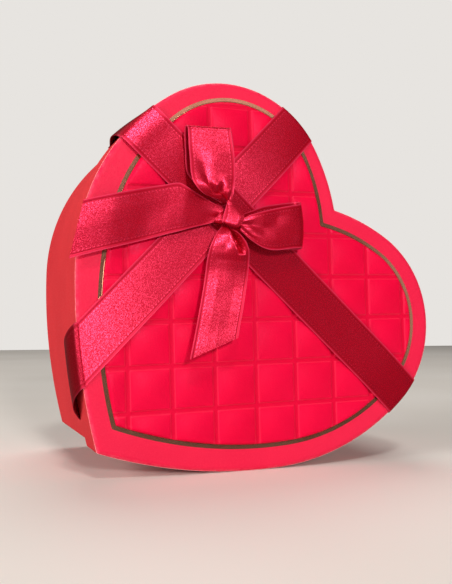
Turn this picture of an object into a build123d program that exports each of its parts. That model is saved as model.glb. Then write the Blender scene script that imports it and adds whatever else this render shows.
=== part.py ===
"""Heart-shaped paperboard gift box with a telescoping lid, a quilted lid panel and a tied satin ribbon.

The box stands on its curved side, the way it is shown for sale: the lid faces -Y, the heart's
tip points to the lower left (-X, low Z) and its notch to the upper right (+X, high Z).
Lengths are millimetres, angles are degrees.
"""

import os
from collections import namedtuple
from math import atan2, cos, degrees, hypot, radians, sin, sqrt

from build123d import *

os.makedirs("parts", exist_ok=True)

# ---------------------------------------------------------------------------------------------
# Driving dimensions
# ---------------------------------------------------------------------------------------------
# Lid outline: on each half four tangent arcs run from the tip round the lobe to the notch. The halves
# are bent by hand and differ a little; the line and the panel on the lid are stamped with an even die.
LOBE = (48.16, 142.54)  # middle of a lobe: across, along the axis
R_LOBE = 59.5
R_NOTCH = 113.0         # this last arc ends where it meets the heart's axis
NOTCH_HEADING = 194.4   # direction of the outline where a lobe runs into the notch
# first arc of a half: its heading at the tip (from straight across), radius and angle
LEFT_SIDE = (28.7, 340.0, 16.3)
RIGHT_SIDE = (27.3, 253.0, 23.2)
DIE_SIDE = (25.9, 232.0, 27.1)
DIE_TIP = (3.77, 1.70)  # where the die's own tip lies on the lid
DIE_TURN = 1.3          # and how far it is turned

# How it stands
AXIS_ANGLE = 43.7       # heart's axis above the horizontal, where the box balances on its side
SHIFT_X = -89.56        # tip to the middle of the box's width
SHIFT_Y = -48.75        # lid's face to the middle of the box's depth

# Paper and board
PAPER = 0.2             # wrap, face and lining papers
LID_BOARD = 2.0         # lid's top board
RIM_BOARD = 1.3         # lid's rim strip
RIM_DEPTH = 26.0        # lid's face to the rim's free edge
TURN_IN = 12.0          # wrap paper turned in over a free edge

WALL_BOARD = 1.5        # base's wall strip
BACK_BOARD = 1.5        # base's bottom board
SLIP = 0.8              # room between the lid's inside and the base, all round
BOX_DEPTH = 116.0       # lid's face to the base's outside bottom
SEAT_GAP = 0.1          # lid's lining to the base's rim

# Decoration on the lid
FOIL_OUT, FOIL_IN = 10.4, 12.5  # stamped line, from the die's outline
FOIL_THICK = 0.12
QUILT_EDGE = 13.1       # quilted panel, from the die's outline
QUILT_CARD = 0.4
QUILT_RISE = 1.8        # panel's highest point above the lid's face
QUILT_ROUND = 0.8       # step at the panel's edge, where the padding rounds off

# Ribbon
RIBBON = 25.0           # width
SATIN = 0.35            # thickness
TUCK = 10.0             # length glued inside the rim
CROSS = (46.6, 133.3)   # where the two bands cross, from the tip: across, along the axis
BAND_A_TURN = -3.97     # long band, from straight across the heart
BAND_B_TURN = 87.11     # short band, close to the heart's axis
SLANT = 0.72            # how far the short band drifts to the tip for each mm down the rim
KNOT = (39.8, 130.7)
KNOT_W, KNOT_H, KNOT_FRONT = 16.0, 15.0, 15.0

# ---------------------------------------------------------------------------------------------
# Heart outline, in its own flat frame: tip at (0, 0), axis along +y, x across
# ---------------------------------------------------------------------------------------------


def polar(centre, radius, angle):
    return (centre[0] + radius * cos(radians(angle)), centre[1] + radius * sin(radians(angle)))


C_NOTCH = polar(polar(LOBE, R_LOBE, NOTCH_HEADING - 90), R_NOTCH, NOTCH_HEADING + 90)
Half = namedtuple("Half", "c_side r_side h1 c_flank r_flank h2")


def half(heading, radius, angle):
    """One half's arcs. The flank arc is the one that touches both the side arc and the lobe."""
    centre, h1 = polar((0, 0), radius, heading + 90), heading + angle
    end = polar(centre, radius, h1 - 90)
    away = (end[0] - LOBE[0], end[1] - LOBE[1])
    lean = away[0] * cos(radians(h1 + 90)) + away[1] * sin(radians(h1 + 90))
    flank = (R_LOBE**2 - away[0] ** 2 - away[1] ** 2) / (2 * (lean + R_LOBE))
    middle = polar(end, flank, h1 + 90)
    h2 = degrees(atan2(LOBE[1] - middle[1], LOBE[0] - middle[0])) + 90
    return Half(centre, radius, h1, middle, flank, h2)


BOX = {1: half(*LEFT_SIDE), -1: half(*RIGHT_SIDE)}
DIE = {1: half(*DIE_SIDE), -1: half(*DIE_SIDE)}


def tip_point(inset, shape):
    """Where the two side arcs meet, moved inwards by inset."""
    (ax, ay), ra = shape[1].c_side, shape[1].r_side - inset
    (bx, by), rb = shape[-1].c_side, shape[-1].r_side - inset
    bx = -bx
    apart = hypot(bx - ax, by - ay)
    along = (apart**2 + ra**2 - rb**2) / (2 * apart)
    off = sqrt(ra**2 - along**2)
    ux, uy = (bx - ax) / apart, (by - ay) / apart
    return (ax + along * ux + off * uy, ay + along * uy - off * ux)


def half_arcs(inset, side, shape):
    """The arcs from tip to notch, moved inwards by inset, each as three points. side is 1 or -1."""
    s = shape[side]
    rn = R_NOTCH - inset
    tip = tip_point(inset, shape)
    notch = (0.0, C_NOTCH[1] + sqrt(rn**2 - C_NOTCH[0] ** 2))
    first = degrees(atan2(tip[1] - s.c_side[1], side * tip[0] - s.c_side[0]))
    last = degrees(atan2(notch[1] - C_NOTCH[1], -C_NOTCH[0]))
    arcs = []
    for centre, radius, a, b in (
        (s.c_side, s.r_side - inset, first, s.h1 - 90),
        (s.c_flank, s.r_flank - inset, s.h1 - 90, s.h2 - 90),
        (LOBE, R_LOBE - inset, s.h2 - 90, NOTCH_HEADING - 90),
        (C_NOTCH, rn, NOTCH_HEADING - 90, last),
    ):
        arcs.append([polar(centre, radius, angle) for angle in (a, (a + b) / 2, b)])
    arcs = [[(side * x, y) for x, y in arc] for arc in arcs]
    arcs[0][0], arcs[-1][2] = tip, notch
    return arcs


def draw_heart(inset, shape=BOX, mode=Mode.ADD):
    """A heart-shaped face in the sketch being built."""
    with BuildLine() as outline:
        for arc in half_arcs(inset, 1, shape):
            ThreePointArc(*arc)
        for arc in half_arcs(inset, -1, shape):
            ThreePointArc(*arc)
    make_face(outline.edges(), mode=mode)


def draw_half_ring(outer, inner, side):
    """One side of a heart-shaped strip, from the tip to the notch."""
    out, inn = half_arcs(outer, side, BOX), half_arcs(inner, side, BOX)
    with BuildLine() as outline:
        for arc in out + inn:
            ThreePointArc(*arc)
        Line(out[0][0], inn[0][0])
        Line(out[-1][2], inn[-1][2])
    make_face(outline.edges())


def draw_ring(outer, inner, shape=BOX):
    draw_heart(outer, shape)
    draw_heart(inner, shape, mode=Mode.SUBTRACT)


# The ground is at z = 0, and the box touches it where its side is level.
SIN, COS = sin(radians(AXIS_ANGLE)), cos(radians(AXIS_ANGLE))
TIP_Z = BOX[-1].r_side - (-BOX[-1].c_side[0] * COS + BOX[-1].c_side[1] * SIN)


def slab(depth):
    """Plane parallel to the lid's face and depth behind it. Extruding goes towards the back."""
    return Plane(origin=(SHIFT_X, SHIFT_Y + depth, TIP_Z), x_dir=(-SIN, 0, COS), z_dir=(0, 1, 0))


def stamped(depth):
    """The same plane in the die's own frame, as it lies on the lid."""
    flat = slab(depth)
    across = flat.x_dir * cos(radians(DIE_TURN)) + flat.y_dir * sin(radians(DIE_TURN))
    return Plane(origin=flat.from_local_coords((*DIE_TIP, 0)), x_dir=across, z_dir=flat.z_dir)


def leaning(start, heading, near, far, length):
    """Plane along a ribbon's tail: it leaves start at depth near and is at depth far at its end."""
    flat = slab(near)
    along = flat.x_dir * cos(radians(heading)) + flat.y_dir * sin(radians(heading))
    along = along + flat.z_dir * ((far - near) / length)
    across = flat.x_dir * -sin(radians(heading)) + flat.y_dir * cos(radians(heading))
    return Plane(
        origin=flat.from_local_coords((*start, 0)), x_dir=along, z_dir=along.cross(across)
    )


# ---------------------------------------------------------------------------------------------
# Lid
# ---------------------------------------------------------------------------------------------
RIM_IN = PAPER + RIM_BOARD          # inside of the rim strip
LID_IN = RIM_IN + PAPER             # inside of the lining on the rim
FLOOR = PAPER + LID_BOARD           # inside of the lid's top board

with BuildPart() as lid_face_sheet:
    with BuildSketch(slab(0)):
        draw_heart(0)
    extrude(amount=PAPER)
lid_face_sheet.part.label = "lid_face_sheet"

with BuildPart() as lid_top_board:
    with BuildSketch(slab(PAPER)):
        draw_heart(PAPER)
    extrude(amount=LID_BOARD)
lid_top_board.part.label = "lid_top_board"

with BuildPart() as lid_rim_left:
    with BuildSketch(slab(FLOOR)):
        draw_half_ring(PAPER, RIM_IN, 1)
    extrude(amount=RIM_DEPTH - PAPER - FLOOR)
lid_rim_left.part.label = "lid_rim_left"

with BuildPart() as lid_rim_right:
    with BuildSketch(slab(FLOOR)):
        draw_half_ring(PAPER, RIM_IN, -1)
    extrude(amount=RIM_DEPTH - PAPER - FLOOR)
lid_rim_right.part.label = "lid_rim_right"

# The wrap goes down the outside of the rim, round its free edge and up the inside.
with BuildPart() as lid_rim_wrap:
    with BuildSketch(slab(PAPER)):
        draw_ring(0, PAPER)
    extrude(amount=RIM_DEPTH - PAPER)
    with BuildSketch(slab(RIM_DEPTH - PAPER)):
        draw_ring(0, LID_IN)
    extrude(amount=PAPER)
    with BuildSketch(slab(RIM_DEPTH - TURN_IN)):
        draw_ring(RIM_IN, LID_IN)
    extrude(amount=TURN_IN)
lid_rim_wrap.part.label = "lid_rim_wrap"

with BuildPart() as lid_lining:
    with BuildSketch(slab(FLOOR)):
        draw_heart(RIM_IN)
    extrude(amount=PAPER)
    with BuildSketch(slab(FLOOR)):
        draw_ring(RIM_IN, LID_IN)
    extrude(amount=RIM_DEPTH - TURN_IN - FLOOR)
lid_lining.part.label = "lid_lining"

with BuildPart() as foil_line:
    with BuildSketch(stamped(-FOIL_THICK)):
        draw_ring(FOIL_OUT, FOIL_IN, DIE)
    extrude(amount=FOIL_THICK)
foil_line.part.label = "foil_line"

with BuildPart() as quilt_card:
    with BuildSketch(stamped(-QUILT_CARD)):
        draw_heart(QUILT_EDGE, DIE)
    extrude(amount=QUILT_CARD)
quilt_card.part.label = "quilt_card"

with BuildPart() as quilt_cover:
    with BuildSketch(stamped(-QUILT_RISE + QUILT_ROUND)):
        draw_heart(QUILT_EDGE, DIE)
    extrude(amount=QUILT_RISE - QUILT_ROUND - QUILT_CARD)
    with BuildSketch(stamped(-QUILT_RISE)):
        draw_heart(QUILT_EDGE + QUILT_ROUND, DIE)
    extrude(amount=QUILT_ROUND)
quilt_cover.part.label = "quilt_cover"

# ---------------------------------------------------------------------------------------------
# Base
# ---------------------------------------------------------------------------------------------
BASE_OUT = LID_IN + SLIP            # outside of the base's wrap
WALL_OUT = BASE_OUT + PAPER
WALL_IN = WALL_OUT + WALL_BOARD
BASE_IN = WALL_IN + PAPER
BRIM = FLOOR + PAPER + SEAT_GAP     # depth of the base's open edge
WALL_END = BOX_DEPTH - 2 * PAPER - BACK_BOARD

with BuildPart() as base_wall_left:
    with BuildSketch(slab(BRIM + PAPER)):
        draw_half_ring(WALL_OUT, WALL_IN, 1)
    extrude(amount=WALL_END - BRIM - PAPER)
base_wall_left.part.label = "base_wall_left"

with BuildPart() as base_wall_right:
    with BuildSketch(slab(BRIM + PAPER)):
        draw_half_ring(WALL_OUT, WALL_IN, -1)
    extrude(amount=WALL_END - BRIM - PAPER)
base_wall_right.part.label = "base_wall_right"

with BuildPart() as base_bottom_board:
    with BuildSketch(slab(WALL_END)):
        draw_heart(WALL_OUT)
    extrude(amount=BACK_BOARD)
base_bottom_board.part.label = "base_bottom_board"

# The wrap covers the outside, turns in over the brim and turns over onto the bottom.
with BuildPart() as base_wrap:
    with BuildSketch(slab(BRIM)):
        draw_ring(BASE_OUT, WALL_OUT)
    extrude(amount=BOX_DEPTH - PAPER - BRIM)
    with BuildSketch(slab(BRIM)):
        draw_ring(BASE_OUT, BASE_IN)
    extrude(amount=PAPER)
    with BuildSketch(slab(BRIM)):
        draw_ring(WALL_IN, BASE_IN)
    extrude(amount=TURN_IN)
    with BuildSketch(slab(BOX_DEPTH - 2 * PAPER)):
        draw_ring(BASE_OUT, BASE_OUT + TURN_IN)
    extrude(amount=PAPER)
base_wrap.part.label = "base_wrap"

with BuildPart() as base_bottom_sheet:
    with BuildSketch(slab(BOX_DEPTH - PAPER)):
        draw_heart(BASE_OUT + 2.5)
    extrude(amount=PAPER)
base_bottom_sheet.part.label = "base_bottom_sheet"

with BuildPart() as base_wall_lining:
    with BuildSketch(slab(BRIM + TURN_IN)):
        draw_ring(WALL_IN, BASE_IN)
    extrude(amount=WALL_END - BRIM - TURN_IN)
base_wall_lining.part.label = "base_wall_lining"

with BuildPart() as base_floor_lining:
    with BuildSketch(slab(WALL_END - PAPER)):
        draw_heart(BASE_IN)
    extrude(amount=PAPER)
base_floor_lining.part.label = "base_floor_lining"

# ---------------------------------------------------------------------------------------------
# Ribbon bands: across the panel, down over the rim, round its free edge and glued inside
# ---------------------------------------------------------------------------------------------
BAND_B_FRONT = -QUILT_RISE - SATIN
BAND_A_FRONT = BAND_B_FRONT - SATIN
TUCKED_IN = LID_IN + SATIN

with BuildPart() as ribbon_band_a:
    with BuildSketch(slab(BAND_A_FRONT)):
        draw_heart(-SATIN)
        with Locations(CROSS):
            Rectangle(400, RIBBON, rotation=BAND_A_TURN, mode=Mode.INTERSECT)
    extrude(amount=SATIN)
    with BuildSketch(slab(BAND_A_FRONT)):
        draw_ring(-SATIN, 0)
        with Locations(CROSS):
            Rectangle(400, RIBBON, rotation=BAND_A_TURN, mode=Mode.INTERSECT)
    extrude(amount=RIM_DEPTH + SATIN - BAND_A_FRONT)
    with BuildSketch(slab(RIM_DEPTH)):
        draw_ring(-SATIN, TUCKED_IN)
        with Locations(CROSS):
            Rectangle(400, RIBBON, rotation=BAND_A_TURN, mode=Mode.INTERSECT)
    extrude(amount=SATIN)
    with BuildSketch(slab(RIM_DEPTH - TUCK)):
        draw_ring(LID_IN, TUCKED_IN)
        with Locations(CROSS):
            Rectangle(400, RIBBON, rotation=BAND_A_TURN, mode=Mode.INTERSECT)
    extrude(amount=TUCK + SATIN)
ribbon_band_a.part.label = "ribbon_band_a"

# The short band meets the rim at a slant near the tip, so there it runs on at that slant.
LOW_END = (41.9, 27.2)
LOW_EDGE = 37.1                     # direction of the lid's edge there
drift = (-SLANT * cos(radians(LOW_EDGE)), -SLANT * sin(radians(LOW_EDGE)))
LOW_TUCK = (LOW_END[0] + drift[0] * RIM_DEPTH, LOW_END[1] + drift[1] * RIM_DEPTH)

with BuildPart() as slanted_run:
    with BuildSketch(slab(0)):
        with Locations(LOW_END):
            Rectangle(56, RIBBON, rotation=BAND_B_TURN)
    run = slab(0)
    way = run.x_dir * drift[0] + run.y_dir * drift[1] + run.z_dir
    extrude(amount=(RIM_DEPTH + SATIN) * way.length, dir=way)

with BuildPart() as ribbon_band_b:
    with BuildSketch(slab(0)):
        draw_ring(-SATIN, 0)
    extrude(amount=RIM_DEPTH + SATIN)
    add(slanted_run.part, mode=Mode.INTERSECT)
    with BuildSketch(slab(BAND_B_FRONT)):
        draw_heart(-SATIN)
        with Locations(CROSS):
            Rectangle(400, RIBBON, rotation=BAND_B_TURN, mode=Mode.INTERSECT)
    extrude(amount=SATIN)
    with BuildSketch(slab(BAND_B_FRONT)):
        draw_ring(-SATIN, 0)
        with Locations(LOW_END):
            Rectangle(56, RIBBON, rotation=BAND_B_TURN, mode=Mode.INTERSECT)
    extrude(amount=-BAND_B_FRONT)
    with BuildSketch(slab(BAND_B_FRONT)):
        draw_ring(-SATIN, 0)
        with Locations((50.0, 200.0)):
            Rectangle(40, RIBBON, rotation=BAND_B_TURN, mode=Mode.INTERSECT)
    extrude(amount=RIM_DEPTH + SATIN - BAND_B_FRONT)
    for end, run in (((50.0, 200.0), 40), (LOW_TUCK, 56)):
        with BuildSketch(slab(RIM_DEPTH)):
            draw_ring(-SATIN, TUCKED_IN)
            with Locations(end):
                Rectangle(run, RIBBON, rotation=BAND_B_TURN, mode=Mode.INTERSECT)
        extrude(amount=SATIN)
        with BuildSketch(slab(RIM_DEPTH - TUCK)):
            draw_ring(LID_IN, TUCKED_IN)
            with Locations(end):
                Rectangle(run, RIBBON, rotation=BAND_B_TURN, mode=Mode.INTERSECT)
        extrude(amount=TUCK + SATIN)
ribbon_band_b.part.label = "ribbon_band_b"

# ---------------------------------------------------------------------------------------------
# Bow, tied round the crossing: a knot, two loops and two tails
# ---------------------------------------------------------------------------------------------
with BuildPart() as bow_knot:
    with BuildSketch(slab(-KNOT_FRONT)):
        with Locations(KNOT):
            RectangleRounded(KNOT_W, KNOT_H, 4.0, rotation=45)
    extrude(amount=KNOT_FRONT + BAND_A_FRONT)
    chamfer(bow_knot.faces().sort_by(Axis.Y)[0].edges(), length=2.5)
bow_knot.part.label = "bow_knot"

with BuildPart() as bow_loop_upper:
    with BuildSketch(slab(-18.5)):
        with BuildLine():
            Polyline(
                (88.4, 144.4), (72.7, 161.2), (54.5, 144.0), (45.0, 133.0), (58.8, 127.5),
                (72.8, 128.1), (87.1, 138.7), close=True,
            )
        make_face()
    extrude(amount=14.5)
    chamfer(bow_loop_upper.faces().sort_by(Axis.Y)[0].edges(), length=3.0)
    add(bow_knot.part, mode=Mode.SUBTRACT)
bow_loop_upper.part.label = "bow_loop_upper"

with BuildPart() as bow_loop_right:
    with BuildSketch(slab(-18.5)):
        with BuildLine():
            Polyline(
                (39.0, 133.0), (32.7, 146.5), (20.6, 164.9), (9.7, 158.6), (0.8, 148.4),
                (10.6, 136.5), (26.0, 130.0), close=True,
            )
        make_face()
    extrude(amount=14.5)
    chamfer(bow_loop_right.faces().sort_by(Axis.Y)[0].edges(), length=3.0)
    add(bow_knot.part, mode=Mode.SUBTRACT)
bow_loop_right.part.label = "bow_loop_right"

with BuildPart() as bow_tail_left:
    with BuildSketch(leaning((44.5, 124.5), -54.3, -8.0, -13.0, 75.0)):
        with BuildLine():
            Polyline((-3, 6), (19, 15), (68, 13.5), (78.6, -12.7), (0, -4.1), close=True)
        make_face()
    extrude(amount=1.0)
    add(bow_knot.part, mode=Mode.SUBTRACT)
bow_tail_left.part.label = "bow_tail_left"

with BuildPart() as bow_tail_lower:
    with BuildSketch(leaning((29.0, 124.0), -125.5, -9.5, -4.6, 60.0)):
        with BuildLine():
            Polyline((-7, 5.0), (2, 6.5), (64.7, 11.9), (48.5, -11.8), (3.3, -9.7), (-7, -5.0), close=True)
        make_face()
    extrude(amount=1.0)
    add(bow_knot.part, mode=Mode.SUBTRACT)
    add(bow_loop_right.part, mode=Mode.SUBTRACT)
bow_tail_lower.part.label = "bow_tail_lower"

# ---------------------------------------------------------------------------------------------
# One file per piece
# ---------------------------------------------------------------------------------------------
export_step(base_bottom_board.part, "parts/base_bottom_board.step")
export_step(base_wall_left.part, "parts/base_wall_left.step")
export_step(base_wall_right.part, "parts/base_wall_right.step")
export_step(base_wrap.part, "parts/base_wrap.step")
export_step(base_bottom_sheet.part, "parts/base_bottom_sheet.step")
export_step(base_wall_lining.part, "parts/base_wall_lining.step")
export_step(base_floor_lining.part, "parts/base_floor_lining.step")
export_step(lid_top_board.part, "parts/lid_top_board.step")
export_step(lid_rim_left.part, "parts/lid_rim_left.step")
export_step(lid_rim_right.part, "parts/lid_rim_right.step")
export_step(lid_rim_wrap.part, "parts/lid_rim_wrap.step")
export_step(lid_face_sheet.part, "parts/lid_face_sheet.step")
export_step(lid_lining.part, "parts/lid_lining.step")
export_step(foil_line.part, "parts/foil_line.step")
export_step(quilt_card.part, "parts/quilt_card.step")
export_step(quilt_cover.part, "parts/quilt_cover.step")
export_step(ribbon_band_a.part, "parts/ribbon_band_a.step")
export_step(ribbon_band_b.part, "parts/ribbon_band_b.step")
export_step(bow_knot.part, "parts/bow_knot.step")
export_step(bow_loop_upper.part, "parts/bow_loop_upper.step")
export_step(bow_loop_right.part, "parts/bow_loop_right.step")
export_step(bow_tail_left.part, "parts/bow_tail_left.step")
export_step(bow_tail_lower.part, "parts/bow_tail_lower.step")
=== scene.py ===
"""Looks of the heart-shaped gift box: paper skins, foil line, quilted panel, satin ribbon and bow."""

from math import atan2, cos, degrees, pi, radians, sin, sqrt

import bpy
import numpy as np
from mathutils import Matrix, Vector
from mathutils.geometry import delaunay_2d_cdt

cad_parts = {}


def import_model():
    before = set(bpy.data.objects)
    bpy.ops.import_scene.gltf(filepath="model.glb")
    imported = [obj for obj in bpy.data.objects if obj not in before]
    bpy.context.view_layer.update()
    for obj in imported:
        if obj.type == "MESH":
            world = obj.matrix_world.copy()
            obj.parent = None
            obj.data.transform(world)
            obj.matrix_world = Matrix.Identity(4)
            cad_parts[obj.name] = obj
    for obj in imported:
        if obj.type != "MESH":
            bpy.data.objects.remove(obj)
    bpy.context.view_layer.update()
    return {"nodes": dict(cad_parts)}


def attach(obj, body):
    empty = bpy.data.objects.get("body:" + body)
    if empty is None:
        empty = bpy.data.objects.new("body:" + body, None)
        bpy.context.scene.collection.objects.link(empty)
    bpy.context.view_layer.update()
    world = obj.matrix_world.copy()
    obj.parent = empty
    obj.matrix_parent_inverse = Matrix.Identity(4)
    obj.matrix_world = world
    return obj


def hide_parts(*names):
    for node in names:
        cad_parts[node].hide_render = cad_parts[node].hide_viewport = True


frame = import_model()
nodes = frame["nodes"]

# ------------------------------------------------------------------------------------------------
# The heart's frame, in millimetres: across, along the axis from the tip, depth behind the lid's face
# ------------------------------------------------------------------------------------------------
LOBE, R_LOBE = (48.16, 142.54), 59.5
R_NOTCH, NOTCH_HEADING = 113.0, 194.4
LEFT_SIDE = (28.7, 340.0, 16.3)
RIGHT_SIDE = (27.3, 253.0, 23.2)
DIE_SIDE = (25.9, 232.0, 27.1)
DIE_TIP, DIE_TURN = (3.77, 1.70), 1.3
AXIS_ANGLE = 43.7
SHIFT_X, SHIFT_Y = -89.56, -48.75
RIM_DEPTH, BOX_DEPTH = 26.0, 116.0
QUILT_EDGE = 13.1
RIBBON = 25.0
CROSS = (46.6, 133.3)
BAND_A_TURN, BAND_B_TURN = -3.97, 87.11


def polar(c, r, a):
    return (c[0] + r * cos(radians(a)), c[1] + r * sin(radians(a)))


C_NOTCH = polar(polar(LOBE, R_LOBE, NOTCH_HEADING - 90), R_NOTCH, NOTCH_HEADING + 90)


def half_heart(heading, radius, angle):
    """Centres, radii and headings of one half's side and flank arcs."""
    centre, h1 = polar((0, 0), radius, heading + 90), heading + angle
    end = polar(centre, radius, h1 - 90)
    away = (end[0] - LOBE[0], end[1] - LOBE[1])
    lean = away[0] * cos(radians(h1 + 90)) + away[1] * sin(radians(h1 + 90))
    flank = (R_LOBE**2 - away[0] ** 2 - away[1] ** 2) / (2 * (lean + R_LOBE))
    middle = polar(end, flank, h1 + 90)
    h2 = degrees(atan2(LOBE[1] - middle[1], LOBE[0] - middle[0])) + 90
    return centre, radius, h1, middle, flank, h2


BOX = {1: half_heart(*LEFT_SIDE), -1: half_heart(*RIGHT_SIDE)}
DIE = {1: half_heart(*DIE_SIDE), -1: half_heart(*DIE_SIDE)}
SB, CB = sin(radians(AXIS_ANGLE)), cos(radians(AXIS_ANGLE))
TIP_Z = BOX[-1][1] - (-BOX[-1][0][0] * CB + BOX[-1][0][1] * SB)


def world(p):
    """Heart millimetres to metres in the part's frame."""
    p = np.asarray(p, float)
    a, b, d = p[..., 0], p[..., 1], p[..., 2]
    return 0.001 * np.stack(
        [SHIFT_X - a * SB + b * CB, SHIFT_Y + d, TIP_Z + a * CB + b * SB], -1
    )


def tip_point(inset, shape):
    """Where the two side arcs meet, moved inwards by inset."""
    (ax, ay), ra = shape[1][0], shape[1][1] - inset
    (bx, by), rb = shape[-1][0], shape[-1][1] - inset
    bx = -bx
    apart = sqrt((bx - ax) ** 2 + (by - ay) ** 2)
    along = (apart**2 + ra**2 - rb**2) / (2 * apart)
    off = sqrt(ra**2 - along**2)
    ux, uy = (bx - ax) / apart, (by - ay) / apart
    return (ax + along * ux + off * uy, ay + along * uy - off * ux)


def outline(inset, tip=1.3, notch=1.2, fine=1, shape=BOX):
    """The heart moved inwards, as a closed loop of points. The count doesn't depend on the inset."""
    rn = R_NOTCH - inset
    tx, ty = tip_point(inset + tip, shape)
    top = C_NOTCH[1] + sqrt((rn + notch) ** 2 - C_NOTCH[0] ** 2)
    b0 = degrees(atan2(top - C_NOTCH[1], -C_NOTCH[0]))
    halves = []
    for side in (1, -1):
        c_side, r_side, h1, c_flank, r_flank, h2 = shape[side]
        a0 = degrees(atan2(ty - c_side[1], side * tx - c_side[0]))
        runs = (
            ((side * tx, ty), tip, -90.0, a0, 6),
            (c_side, r_side - inset, a0, h1 - 90, 44),
            (c_flank, r_flank - inset, h1 - 90, h2 - 90, 34),
            (LOBE, R_LOBE - inset, h2 - 90, NOTCH_HEADING - 90, 60),
            (C_NOTCH, rn, NOTCH_HEADING - 90, b0, 26),
            ((0.0, top), notch, b0 + 180, 270.0, 6),
        )
        half = []
        for c, r, a, b, n in runs:
            n *= fine
            for k in range(n):
                half.append(polar(c, r, a + (b - a) * k / n))
        half.append((0.0, top - notch))
        halves.append(np.array(half) * (side, 1))
    return np.concatenate([halves[0], halves[1][1:-1][::-1]])


def stamped(p):
    """From the die's own frame to where it lies on the lid."""
    c, s = cos(radians(DIE_TURN)), sin(radians(DIE_TURN))
    return np.asarray(p) @ np.array([[c, s], [-s, c]]) + DIE_TIP


EDGE = outline(0, fine=4)
_step = np.linalg.norm(np.roll(EDGE, -1, 0) - EDGE, axis=1)
EDGE_S = np.concatenate([[0], np.cumsum(_step)])
_tan = np.roll(EDGE, -1, 0) - np.roll(EDGE, 1, 0)
_tan /= np.linalg.norm(_tan, axis=1)[:, None]
EDGE_N = np.stack([_tan[:, 1], -_tan[:, 0]], 1)


def on_edge(s, out):
    """A point that far along the lid's edge from the tip, moved outwards."""
    s = np.asarray(s, float) % EDGE_S[-1]
    loop = np.concatenate([EDGE, EDGE[:1]])
    norm = np.concatenate([EDGE_N, EDGE_N[:1]])
    p = np.stack([np.interp(s, EDGE_S, loop[:, k]) for k in (0, 1)], -1)
    n = np.stack([np.interp(s, EDGE_S, norm[:, k]) for k in (0, 1)], -1)
    n /= np.linalg.norm(n, axis=-1)[..., None]
    return p + n * np.asarray(out, float)[..., None]


def edge_distance(p, loop=EDGE):
    """How far points lie inside a closed loop (its nearest point)."""
    p = np.asarray(p, float).reshape(-1, 2)
    best = np.empty(len(p))
    for k in range(0, len(p), 2000):
        q = p[k : k + 2000, None, :] - loop[None]
        best[k : k + 2000] = np.sqrt((q**2).sum(2).min(1))
    return best


# ------------------------------------------------------------------------------------------------
# Camera
# ------------------------------------------------------------------------------------------------
EYE_H = np.array([99.2339, -13.4992, -367.9132])       # in the heart's frame
LOOK = np.array(                                        # right, down and forward, there
    [
        [-0.64133180, 0.67260459, -0.36918368],
        [-0.73464406, -0.67711526, 0.04257980],
        [-0.22134054, 0.29852638, 0.92838051],
    ]
)
TURN = np.array([[-SB, CB, 0.0], [0.0, 0.0, 1.0], [CB, SB, 0.0]])
EYE = 1000.0 * world(EYE_H)
VIEW = TURN @ (LOOK * [[1.0], [-1.0], [-1.0]]).T
FOCAL = 750.0           # in pixels of the 452 x 584 picture

camera = bpy.data.objects.new("camera", bpy.data.cameras.new("camera"))
bpy.context.scene.collection.objects.link(camera)
camera.matrix_world = Matrix.Translation(Vector(EYE * 0.001)) @ Matrix(VIEW.tolist()).to_4x4()
camera.data.sensor_width = 36.0
camera.data.lens = FOCAL / 584 * 36.0
camera.data.clip_start, camera.data.clip_end = 0.01, 20.0
bpy.context.scene.camera = camera


def at(x, y, depth):
    """The heart-frame point that shows at (x, y) in the picture and lies at that depth."""
    ray = np.array([(x - 226.0) / FOCAL, (y - 292.0) / FOCAL, 1.0]) @ LOOK
    return EYE_H + ray * ((depth - EYE_H[2]) / ray[2])


# ------------------------------------------------------------------------------------------------
# Mesh helpers
# ------------------------------------------------------------------------------------------------


def add_mesh(name, points, faces, body, materials, uv=None, slots=None, sharp=None, attrs=None):
    """A mesh object from world points, riding on a body. uv is one pair per vertex."""
    mesh = bpy.data.meshes.new(name)
    mesh.from_pydata([tuple(p) for p in np.asarray(points, float)], [], [list(f) for f in faces])
    mesh.validate()
    if uv is not None:
        layer = mesh.uv_layers.new(name="UVMap")
        corner = np.empty(len(mesh.loops), np.int32)
        mesh.loops.foreach_get("vertex_index", corner)
        layer.data.foreach_set("uv", np.asarray(uv, np.float32)[corner].ravel())
    for key, values in (attrs or {}).items():
        made = mesh.attributes.new(key, "FLOAT", "POINT")
        made.data.foreach_set("value", np.asarray(values, np.float32))
    for m in materials:
        mesh.materials.append(m)
    if slots is not None:
        mesh.polygons.foreach_set("material_index", np.asarray(slots, np.int32))
    mesh.polygons.foreach_set("use_smooth", np.ones(len(mesh.polygons), bool))
    mesh.update()
    if sharp is not None:
        mesh.set_sharp_from_angle(angle=radians(sharp))
    obj = bpy.data.objects.new(name, mesh)
    bpy.context.scene.collection.objects.link(obj)
    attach(obj, body)
    return obj


def swept(name, profile, body, materials, closed=False, ends=(False, False), slots=None,
          sharp=40, attr=None, tip=1.3, fine=1, die=False):
    """A (inset, depth) profile carried round the heart. ends fill the first and last loops."""
    rings = [outline(i, tip=tip, fine=fine, shape=DIE if die else BOX) for i, _ in profile]
    if die:
        rings = [stamped(r) for r in rings]
    n = len(rings[0])
    points = np.concatenate(
        [world(np.column_stack([r, np.full(n, d)])) for r, (_, d) in zip(rings, profile)]
    )
    faces, index = [], []
    count = len(profile)
    for k in range(count if closed else count - 1):
        a, b = k * n, ((k + 1) % count) * n
        for j in range(n):
            i = (j + 1) % n
            faces.append((a + j, b + j, b + i, a + i))
            index.append(slots[k] if slots else 0)
    if ends[0]:
        faces.append(tuple(range(n)))
        index.append(0)
    if ends[1]:
        faces.append(tuple((count - 1) * n + j for j in reversed(range(n))))
        index.append(0)
    attrs = {k: np.repeat(v, n) for k, v in (attr or {}).items()}
    return add_mesh(name, points, faces, body, materials, slots=index, sharp=sharp, attrs=attrs)


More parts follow.
